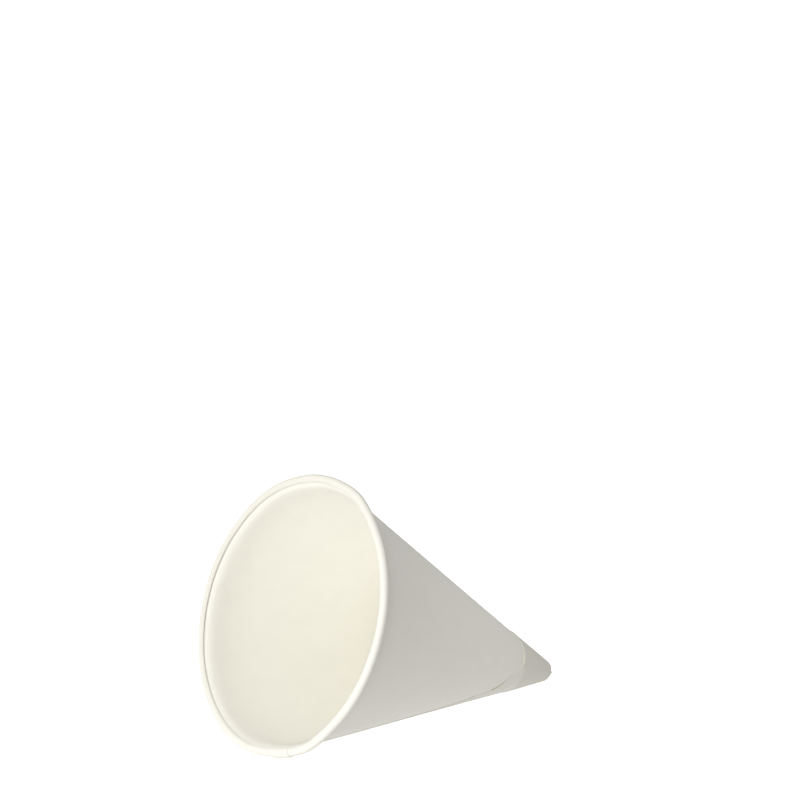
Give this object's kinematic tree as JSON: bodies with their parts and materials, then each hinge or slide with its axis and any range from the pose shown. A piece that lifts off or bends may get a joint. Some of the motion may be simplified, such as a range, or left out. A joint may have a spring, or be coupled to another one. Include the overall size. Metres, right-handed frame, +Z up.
{
  "type": "cone paper cup",
  "caption": "Conical paper drinking cup with an outward-rolled rim, an overlapped and glued side seam, and a closed tip with the sheet's tail wound round it, lying on its side.",
  "frame": {"origin": "on the surface the cup lies on, under the middle of its box", "axes": "+Z up, +X towards the tip; the mouth opens towards -X, tilted up by about 20 degrees; the cup's own axis lies in the XZ plane"},
  "size_m": [0.0964, 0.07, 0.0654],
  "materials": {
    "paper": "uncoated, matte, warm white"
  },
  "bodies": {
    "root": {"paper_cup": "paper"}
  },
  "joints": []
}
